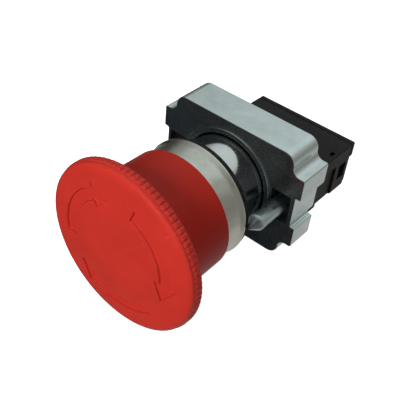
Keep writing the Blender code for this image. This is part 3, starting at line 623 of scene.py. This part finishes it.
def collar_outline():
    """The casting's outline: flat top and bottom, S-shaped shoulders, ears, a slot in each end."""
    quarter = [
        (SLOT_IN_X, SLOT_Z, 0.4), (COLLAR_X, SLOT_Z, 0.4), (COLLAR_X, EAR_Z, 0.55),
        (COLLAR_MAIN_X, EAR_Z, 1.9), (COLLAR_MAIN_X, COLLAR_Z, 2.7),
    ]
    upper = quarter + [(-x, z, r) for x, z, r in reversed(quarter)]
    return rounded(upper + [(-x, -z, r) for x, z, r in upper], steps=8)


def disc_cutter(name, radius, front, back, centre=(0, 0), steps=SMALL_ROUND * 2):
    corners = [(0, front), (radius, front), (radius, back), (0, back)]
    return turned(name, corners, ZINC, steps, centre)


def collar():
    piece = prism("collar_casting", collar_outline(), COLLAR_FRONT, COLLAR_BACK, ZINC, COLLAR_RIM, 3)
    boss = turned(
        "boss",
        rounded([(0, BOSS_FRONT, 0), (BOSS_R, BOSS_FRONT, 0.3), (BOSS_R + 0.15, COLLAR_FRONT + 2, 0),
                 (0, COLLAR_FRONT + 2, 0)], closed=False),
        ZINC,
    )
    carved(piece, [boss], "UNION")
    seat = COLLAR_BACK - 2.8
    tab_mid, tab_half = 55, 27
    sweep = arc(13.7, tab_mid - tab_half, tab_mid + tab_half, 14)
    sweep += arc(11.5, tab_mid + tab_half, tab_mid - tab_half, 14)
    cutters = [
        disc_cutter("bore_cutter", COLLAR_BORE, BOSS_FRONT - 1, COLLAR_BACK + 2, steps=ROUND),
        disc_cutter("seat_cutter_ring", 12.2, seat, COLLAR_BACK + 2, steps=ROUND),
        prism("sweep_cutter", sweep, seat + 0.3, COLLAR_BACK + 2, ZINC),
    ]
    claw_z = -9.6
    for side in (1, -1):
        near, far = sorted((side * CHANNEL_IN_X, side * CHANNEL_OUT_X))
        start, end = (near, BOSS_FRONT - 2, -CHANNEL_Z), (far, CHANNEL_BACK, CHANNEL_Z)
        cutters.append(block(f"channel_cutter_{side}", start, end, ZINC, 0.35, 3))
        hole_r, centre = SCREW_R + 0.05, (side * SCREW_X, 0)
        cutters.append(disc_cutter(f"thread_cutter_{side}", hole_r, 12, COLLAR_BACK + 2, centre))
        claw_x = side * 15.2
        start = (claw_x - 1.2, COLLAR_BACK - 3.4, claw_z - 1.9)
        end = (claw_x + 1.2, COLLAR_BACK + 2, claw_z + 1.9)
        cutters.append(block(f"claw_cutter_{side}", start, end, ZINC, 0.2))
        near, far = sorted((side * FOOT_IN_X, side * (COLLAR_X + 3)))
        start, end = (near, FOOT_BACK, -COLLAR_Z - 2), (far, COLLAR_BACK + 2, FOOT_TOP)
        cutters.append(block(f"foot_cutter_{side}", start, end, ZINC, 0.3, 3))
    carved(piece, cutters)
    placed(smooth(piece, 30), "base", "zinc_casting", "fixing_collar")


def threaded(pitch, depth, start, end):
    """A radius change that cuts a helical thread between two places along Y."""
    def shape(radius, y, angle):
        if not start <= y <= end or radius < 1:
            return radius
        wave = abs(((y / pitch - angle / (2 * math.pi)) % 1) * 2 - 1)
        fade = min((y - start) / pitch, (end - y) / pitch, 1)
        return radius - depth * fade * min(1, max(0, wave * 1.5 - 0.25))
    return shape


def clamp_screw(word):
    """A cone-pointed screw with its thread, slotted at the back end."""
    node = f"clamp_screw_{word}"
    tip, end, x = low(node).y, high(node).y, middle(node).x
    cone, pitch = 2.9, 0.7
    profile = [(0, tip), (0.16, tip + 0.03), (0.3, tip + 0.16)]
    profile += [(0.3 + (SCREW_R - 0.3) * k / 6, tip + 0.16 + (cone - 0.3) * k / 6) for k in range(1, 6)]
    profile += [(SCREW_R - 0.05, tip + cone - 0.12), (SCREW_R, tip + cone + 0.12)]
    rows = int((end - 0.4 - tip - cone - 0.3) / 0.09)
    start = tip + cone + 0.3
    profile += [(SCREW_R, start + (end - 0.35 - start) * k / rows) for k in range(rows + 1)]
    profile += [(SCREW_R - 0.25, end - 0.05), (SCREW_R - 0.35, end), (0, end)]
    shape = threaded(pitch, 0.16, CHANNEL_BACK - 0.8, end - 0.3)
    piece = turned(f"{node}_turning", profile, SCREW_ZINC, 48, (x, 0), shape)
    start, finish = (x - 5, end - 0.7, -0.4), (x + 5, end + 1, 0.4)
    carved(piece, [block(f"{node}_slot", start, finish, ZINC, 0.0)])
    placed(smooth(piece), "base", "zinc_steel", node)


def lock_ring():
    node = "lock_ring"
    front, back = low("lock_ring").y, low("lock_ring").y + 1.2
    bore, reach, edge = 11.35, 12.0, 0.12
    corners = [(bore, front, edge), (reach, front, edge), (reach, back, edge), (bore, back, edge)]
    piece = turned("lock_ring_stamping", rounded(corners, steps=3), STEEL, ROUND)
    extra = []
    for i in range(3):
        mid = 45 + i * 120
        outline = arc(11.7, mid - 12, mid + 12, 10) + arc(10.4, mid + 12, mid - 12, 10)
        extra.append(prism(f"tooth_{i}", outline, front + 0.1, back - 0.1, STEEL))
    outline = arc(13.4, 31, 49, 8) + arc(11.6, 49, 31, 8)
    extra.append(prism("tab", outline, front + 0.4, high("lock_ring").y, STEEL, 0.15))
    carved(piece, extra, "UNION")
    placed(smooth(piece), "lock_ring", "zinc_steel", node)


# The contact block

BLOCK_TOP = high("block_housing").z
BLOCK_BOTTOM = low("block_cover").z
BLOCK_FRONT = COLLAR_BACK + 0.1
COVER_FRONT = low("block_cover").y
COVER_BACK = high("block_cover").y
BLOCK_Z = middle("terminal_screw_right").z
POCKET_TOP = -3.5
BLOCK_MAIN_X = high("block_cover").x
COVER_CORNER = 0.35
COVER_RIM = 0.2  # smaller than the corners of the outline
TERMINAL_X = middle("terminal_screw_right").x


def housing():
    """The moulded case: a deeper foot in front, pockets and wire entries in its ends, two snap claws."""
    x = BLOCK_MAIN_X
    back = COVER_FRONT - 0.1
    piece = block("housing_moulding", (-x, BLOCK_FRONT, BLOCK_BOTTOM), (x, back, BLOCK_TOP), BLACK, 0.3, 3)
    start = (-x + 0.3, BLOCK_FRONT + 0.4, low("block_housing").z)
    extra = [block("foot", start, (x - 0.3, BLOCK_FRONT + 10.6, BLOCK_BOTTOM + 2), BLACK, 0.3, 3)]
    claw_z, claw_half = -9.6, 1.7
    for side in (1, -1):
        claw_x = side * 14.9
        start = (claw_x - 0.7, BLOCK_FRONT - 2.9, claw_z - claw_half)
        end = (claw_x + 0.7, BLOCK_FRONT + 1.0, claw_z + claw_half)
        extra.append(block(f"claw_{side}", start, end, BLACK, 0.15))
    carved(piece, extra, "UNION")
    wall = 1.3
    low_in = (-x + wall, BLOCK_FRONT + wall, BLOCK_BOTTOM + wall)
    cutters = [block("cavity_cutter", low_in, (x - wall, back + 5, BLOCK_TOP - wall), BLACK, 0.4)]
    cutters.append(disc_cutter("plunger_cutter", 2.25, BLOCK_FRONT - 1, BLOCK_FRONT + 3, (0, BLOCK_Z)))
    for side in (1, -1):
        entry_y, entry_half = TERMINAL_PLATE + 2.6, 1.6
        start = (side * x - 2, entry_y - entry_half, BLOCK_Z - 2.3)
        end = (side * x + 2, entry_y + entry_half, BLOCK_Z + 2.3)
        cutters.append(block(f"entry_{side}", start, end, BLACK, 0.3))
        near, far = sorted((side * (x - 0.55), side * (x + 2)))
        pocket = (near, BLOCK_FRONT + 1.6, BLOCK_BOTTOM - 5), (far, BLOCK_FRONT + 16.6, POCKET_TOP)
        cutters.append(block(f"pocket_{side}", *pocket, BLACK, 0.25, 3))
        near, far = sorted((side * (x - 2.0), side * (x - 0.9)))
        notch = (near, BLOCK_FRONT + 14.6, BLOCK_TOP - 0.8), (far, BLOCK_FRONT + 16.2, BLOCK_TOP + 1)
        cutters.append(block(f"notch_{side}", *notch, BLACK, 0.15))
    carved(piece, cutters)
    placed(smooth(piece, 30), "base", "black_plastic", "block_housing")


TERMINAL_PLATE = high("fixed_contact_right").y - 0.8


def cover():
    """The back plate: a full-width lip along its top, sides set in below it, and two screwdriver holes."""
    x = BLOCK_MAIN_X
    inset, lip, hole_r, mouth_r = 0.5, 4.0, 3.2, 3.7
    step = BLOCK_TOP - lip - 0.5
    half = [(x, BLOCK_TOP), (x, BLOCK_TOP - lip), (x - inset, step), (x - inset, BLOCK_BOTTOM)]
    around = [(-px, z) for px, z in half] + half[::-1]
    outline = rounded([(px, z, COVER_CORNER) for px, z in around], steps=3)
    piece = prism("cover_moulding", outline, COVER_FRONT, COVER_BACK, BLACK, COVER_RIM, 3)
    cutters = []
    for side in (1, -1):
        centre = (side * TERMINAL_X, BLOCK_Z)
        hole = [(0, COVER_FRONT - 1), (hole_r, COVER_FRONT - 1), (hole_r, COVER_BACK - 0.35)]
        hole += [(mouth_r, COVER_BACK + 0.15), (mouth_r, COVER_BACK + 1), (0, COVER_BACK + 1)]
        cutters.append(turned(f"access_{side}", hole, BLACK, SMALL_ROUND, centre))
        near, far = sorted((side * 2.2, side * 4.2))
        start, end = (near, COVER_BACK - 0.4, BLOCK_BOTTOM + 1.6), (far, COVER_BACK + 1, BLOCK_TOP - 1.6)
        cutters.append(block(f"panel_{side}", start, end, BLACK, 0.15))
    carved(piece, cutters, edge=0.08)
    placed(smooth(piece, 30), "base", "black_plastic", "block_cover")


# Springs


def coil(front, back, radius, wire, turns, centre=(0, 0), per_turn=28, closed=0.75):
    """The centreline of a compression spring whose end turns lie flat."""
    front, back = front + wire, back - wire
    lie = 2.2 * wire
    points = []
    for k in range(round(turns * per_turn) + 1):
        turn = k / per_turn
        rise = min(max(turn - closed, 0) / (turns - 2 * closed), 1)
        start = min(turn / closed, 1) * lie
        end = min(max(turn - turns + closed, 0) / closed, 1) * lie
        y = front + start + rise * (back - front - 2 * lie) + end
        angle = 2 * math.pi * turn
        points.append((centre[0] + radius * math.cos(angle), y, centre[1] + radius * math.sin(angle)))
    return points


def spring(node, radius, wire, turns, body, joint=None, centre=(0, 0)):
    """A coil spring. One that a joint presses gets a mesh of its own."""
    front, back = low(node).y, high(node).y
    piece = tube(f"{node}_wire", coil(front, back, radius, wire, turns, centre), wire, SPRING)
    placed(piece, body, "spring_steel", node)
    if joint:
        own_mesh(piece)


def springs():
    spring("return_spring", 8.6, 0.5, 3.5, "base", "head_push")
    spring("plunger_spring", 2.3, 0.22, 6, "base", "contact_travel", (0, BLOCK_Z))
    spring("bridge_spring", 1.75, 0.2, 4, "contact_carriage", centre=(0, BLOCK_Z))


# The rest of the CAD pieces keep their shape and get their material

KEPT = {
    WHITE: ("spindle", "release_cam"),
    BLACK: ("pusher_plate",),
    RED_PLUNGER: ("block_plunger",),
    RUBBER: ("barrel_seal",),
    STEEL: ("hub_screw", "spring_washer", "terminal_clamp_left", "terminal_clamp_right",
            "terminal_screw_left", "terminal_screw_right", "latch_pin_left", "latch_pin_right"),
    SPRING: ("retaining_circlip", "latch_spring", "release_spring"),
    BRASS: ("bridge_contact", "fixed_contact_left", "fixed_contact_right"),
    SILVER: ("bridge_tip_left", "bridge_tip_right", "fixed_tip_left", "fixed_tip_right"),
}


def dress_kept_nodes():
    for material, nodes in KEPT.items():
        for name in nodes:
            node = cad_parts[name]
            node.data.materials.clear()
            node.data.materials.append(material)


# Studio


# Where the surround glows: (direction, ((cosine, colour), ...)), read off by how near a ray comes to it
ABOVE_BEHIND = (
    (-1.0, (0.008, 0.010, 0.013)), (0.20, (0.013, 0.016, 0.018)), (0.45, (0.06, 0.06, 0.05)),
    (0.75, (0.29, 0.31, 0.30)), (0.92, (0.56, 0.63, 0.63)), (1.0, (0.62, 0.69, 0.69)),
)
BELOW_BEHIND = (
    (-1.0, (0, 0, 0)), (0.25, (0, 0, 0)), (0.45, (0.035, 0.03, 0.02)),
    (0.65, (0.20, 0.20, 0.19)), (0.82, (0.38, 0.38, 0.37)), (1.0, (0.44, 0.44, 0.43)),
)
RIGHT = ((-1.0, (0, 0, 0)), (0.4, (0, 0, 0)), (0.7, (0.06, 0.06, 0.06)), (1.0, (0.22, 0.22, 0.21)))
GLOWS = (
    ((-0.10, 0.55, 0.83), ABOVE_BEHIND),
    ((0.0, 0.62, -0.78), BELOW_BEHIND),
    ((0.95, 0.30, 0.10), RIGHT),
)


def studio_world():
    """A dark surround with pale glows above and below behind the object, and a weaker one on its right.
    What the camera sees of it directly is plain white."""
    world = bpy.data.worlds.new("studio")
    bpy.context.scene.world = world
    world.use_nodes = True
    tree = world.node_tree
    tree.nodes.clear()
    place = tree.nodes.new("ShaderNodeTexCoord").outputs["Generated"]
    total = None
    for direction, stops in GLOWS:
        nearness = tree.nodes.new("ShaderNodeVectorMath")
        nearness.operation = "DOT_PRODUCT"
        nearness.inputs[1].default_value = Vector(direction).normalized()
        tree.links.new(place, nearness.inputs[0])
        share = tree.nodes.new("ShaderNodeMapRange")
        share.inputs[1].default_value = -1
        tree.links.new(nearness.outputs["Value"], share.inputs[0])
        ramp = tree.nodes.new("ShaderNodeValToRGB")
        ramp.color_ramp.interpolation = "EASE"
        elements = ramp.color_ramp.elements
        while len(elements) < len(stops):
            elements.new(0.5)
        for element, (cosine, colour) in zip(elements, stops):
            element.position = (cosine + 1) / 2
            element.color = (*colour, 1)
        tree.links.new(share.outputs[0], ramp.inputs["Fac"])
        surround = tree.nodes.new("ShaderNodeBackground")
        tree.links.new(ramp.outputs["Color"], surround.inputs["Color"])
        if total is None:
            total = surround.outputs[0]
        else:
            added = tree.nodes.new("ShaderNodeAddShader")
            tree.links.new(total, added.inputs[0])
            tree.links.new(surround.outputs[0], added.inputs[1])
            total = added.outputs[0]
    plain = tree.nodes.new("ShaderNodeBackground")
    plain.inputs["Color"].default_value = (1, 1, 1, 1)
    mixed = tree.nodes.new("ShaderNodeMixShader")
    tree.links.new(tree.nodes.new("ShaderNodeLightPath").outputs["Is Camera Ray"], mixed.inputs[0])
    tree.links.new(total, mixed.inputs[1])
    tree.links.new(plain.outputs[0], mixed.inputs[2])
    tree.links.new(mixed.outputs[0], tree.nodes.new("ShaderNodeOutputWorld").inputs["Surface"])


def floor():
    """A plain pale floor under the head's rim, nearly white, with a faint shadow."""
    bm = bmesh.new()
    bmesh.ops.create_grid(bm, x_segments=1, y_segments=1, size=3.0)
    bmesh.ops.translate(bm, vec=(0, 0, CAD_LOW.z), verts=bm.verts)
    look = Look("pale_floor", 0.9)
    look.colour(look.mix(look.noise(400.0), (0.93, 0.93, 0.93, 1), (0.90, 0.90, 0.90, 1)))
    glow = look.node("ShaderNodeEmission", {"Color": (1, 1, 1, 1)})
    seen = look.node("ShaderNodeLightPath").outputs["Is Camera Ray"]
    look.tree.links.new(look.spread(seen, 0, 1, 0.02, 0.92), glow.inputs["Strength"])
    both = look.node("ShaderNodeAddShader", {0: look.shader.outputs[0], 1: glow.outputs[0]})
    output = [n for n in look.tree.nodes if n.type == "OUTPUT_MATERIAL"][0]
    look.tree.links.new(both.outputs[0], output.inputs["Surface"])
    piece = finished(bm, "floor", look.material)
    piece.visible_glossy = False
    piece.visible_diffuse = False


def lamp(name, direction, distance, size, power):
    """A square soft light, aimed at the middle of the object."""
    target = (CAD_LOW + CAD_HIGH) / 2
    data = bpy.data.lights.new(name, "AREA")
    data.shape = "SQUARE"
    data.size = size
    data.energy = power
    light = bpy.data.objects.new(name, data)
    towards = Vector(direction).normalized()
    light.location = target + towards * distance
    light.rotation_mode = "QUATERNION"
    light.rotation_quaternion = towards.to_track_quat("Z", "Y")
    light.visible_glossy = False
    bpy.context.scene.collection.objects.link(light)


def lights():
    lamp("key", (0.0, -0.93, 0.36), 0.8, 0.45, 7.0)
    lamp("top", (-0.4, 0.1, 1.0), 0.8, 0.6, 0.9)
    lamp("fill", (0.9, -0.45, 0.03), 0.8, 0.5, 0.8)


def camera():
    """The photograph's viewpoint: right of the axis, well above it, slightly rolled."""
    azimuth, elevation, roll = math.radians(36.28), math.radians(40.64), math.radians(6.25)
    target, distance, lens = Vector((5.652, -7.042, 6.222)), 150.88, 64.70
    back = Vector((
        math.sin(azimuth) * math.cos(elevation),
        -math.cos(azimuth) * math.cos(elevation),
        math.sin(elevation),
    ))
    across = Vector((math.cos(azimuth), math.sin(azimuth), 0))
    up = back.cross(across)
    right = across * math.cos(roll) + up * math.sin(roll)
    upright = up * math.cos(roll) - across * math.sin(roll)
    data = bpy.data.cameras.new("camera")
    data.lens = lens
    data.sensor_width = 36.0
    data.clip_start, data.clip_end = 0.01, 10.0
    obj = bpy.data.objects.new("camera", data)
    turn = Matrix((right, upright, back)).transposed().to_4x4()
    obj.matrix_world = Matrix.Translation((target + back * distance) * MM) @ turn
    bpy.context.scene.collection.objects.link(obj)
    bpy.context.scene.camera = obj


camera()
cap()
skirt()
bezel()
gasket()
barrel()
collar()
clamp_screw("right")
clamp_screw("left")
lock_ring()
housing()
cover()
springs()
dress_kept_nodes()
studio_world()
floor()
lights()
bpy.context.scene.view_settings.view_transform = "Standard"
